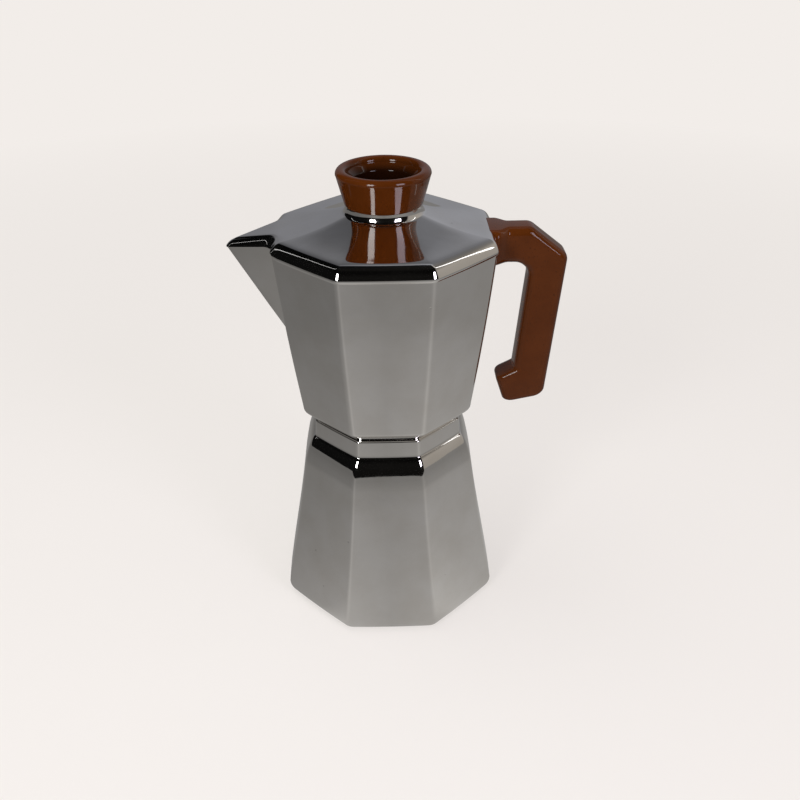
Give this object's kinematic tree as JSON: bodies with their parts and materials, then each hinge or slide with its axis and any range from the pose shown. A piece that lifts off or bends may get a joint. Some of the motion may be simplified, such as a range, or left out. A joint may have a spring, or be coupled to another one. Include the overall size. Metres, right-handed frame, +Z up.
{
  "type": "moka pot vase",
  "caption": "Octagonal moka-pot-shaped vase with a pinched waist, V spout, angular side handle and open round mouth collar.",
  "frame": {"origin": "centre of the flat base, on the octagon's axis, at table level", "axes": "+Z up along the octagon's axis, spout towards -X, handle towards +X, a flat facet faces -Y"},
  "size_m": [0.2025, 0.1374, 0.29],
  "materials": {
    "plated_ceramic": "silver plated over glaze, mirror bright, slightly wavy",
    "brown_glaze": "glossy chestnut-brown glaze"
  },
  "bodies": {
    "root": {"lower_body": "plated_ceramic", "upper_body": "plated_ceramic", "spout": "plated_ceramic", "lid_top": "plated_ceramic", "mouth_collar": "brown_glaze", "handle": "brown_glaze"}
  },
  "joints": []
}
